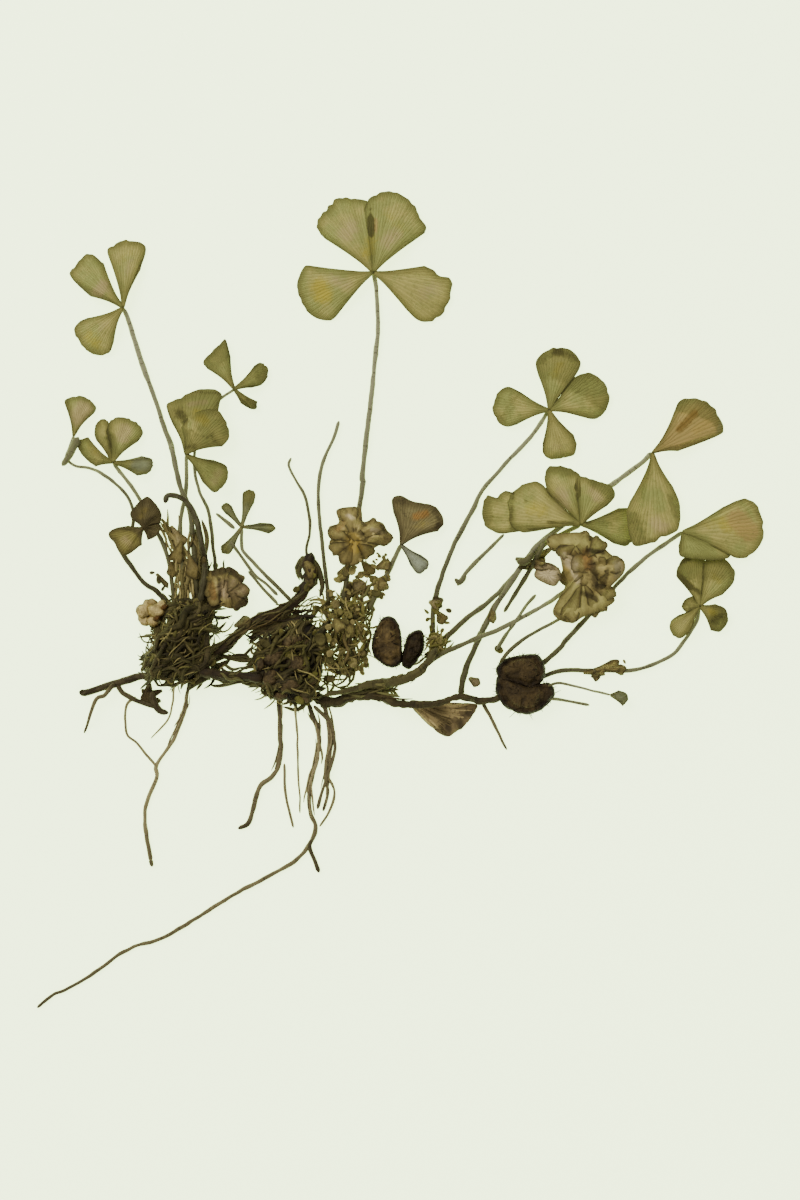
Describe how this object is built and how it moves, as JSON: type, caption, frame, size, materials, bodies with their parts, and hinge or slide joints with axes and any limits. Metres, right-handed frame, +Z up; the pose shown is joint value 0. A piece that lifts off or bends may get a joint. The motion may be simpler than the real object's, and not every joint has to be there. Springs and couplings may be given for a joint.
{
  "type": "pressed water clover plant",
  "caption": "Pressed, dried water clover lying flat: four-parted leaves on thin stems, creeping rhizome with dark tufts, spore cases and long roots.",
  "frame": {"origin": "on the surface that the plant lies on, under the middle of its outline seen from above", "axes": "+Z up from the surface, +Y towards the tallest leaf, +X towards the leaves on the right"},
  "size_m": [0.0654, 0.0735, 0.003],
  "materials": {
    "leaf": "dry matt leaf, olive with a darker edge",
    "leaf_rust": "dry matt leaf, turned orange-brown",
    "dry_leaf": "crumpled matt brown leaf",
    "stem": "dry grey-green stem",
    "rhizome": "dark brown wrinkled rhizome",
    "tuft": "dark tangle of stem bases, roots and scraps",
    "spore_case": "dark brown leathery spore case",
    "bud": "tan to brown bud scales",
    "root": "thin dry brown root"
  },
  "bodies": {
    "root": {"bud_left": "bud", "bud_scale": "bud", "dry_leaf_centre": "dry_leaf", "dry_leaf_left": "dry_leaf", "dry_leaf_right": "dry_leaf", "dry_leaf_tan": "dry_leaf", "leaf_brown": "dry_leaf", "leaf_far_left": "leaf", "leaf_far_right": "leaf", "leaf_folded": "leaf", "leaf_left": "leaf", "leaf_lower_left": "dry_leaf", "leaf_middle": "leaf", "leaf_right": "leaf", "leaf_rust": "leaf_rust", "leaf_small_right": "leaf", "leaf_small_upper": "leaf", "leaf_star": "leaf", "leaf_tiny": "leaf", "leaf_top": "leaf", "leaf_upper_left": "leaf", "rhizome_branch": "rhizome", "rhizome_lower": "rhizome", "rhizome_right": "rhizome", "rhizome_upper": "rhizome", "root_left": "root", "root_left_down": "root", "root_left_fork": "root", "root_middle": "root", "root_middle_left": "root", "root_middle_right": "root", "root_right": "root", "spore_case_left": "spore_case", "spore_case_lower": "spore_case", "spore_case_right": "spore_case", "spore_case_upper": "spore_case", "stem_bare_short": "stem", "stem_bare_tall": "stem", "stem_brown": "stem", "stem_dry_leaf": "stem", "stem_dry_leaf_low": "stem", "stem_far_left": "stem", "stem_far_right": "stem", "stem_folded": "stem", "stem_hooked": "stem", "stem_left": "stem", "stem_lower_left": "stem", "stem_middle": "stem", "stem_right": "stem", "stem_rust": "stem", "stem_small_right": "stem", "stem_small_upper": "stem", "stem_star": "stem", "stem_tiny": "stem", "stem_top": "stem", "stem_upper_left": "stem", "tuft_left": "tuft", "tuft_middle": "tuft", "tuft_right": "tuft"}
  },
  "joints": []
}
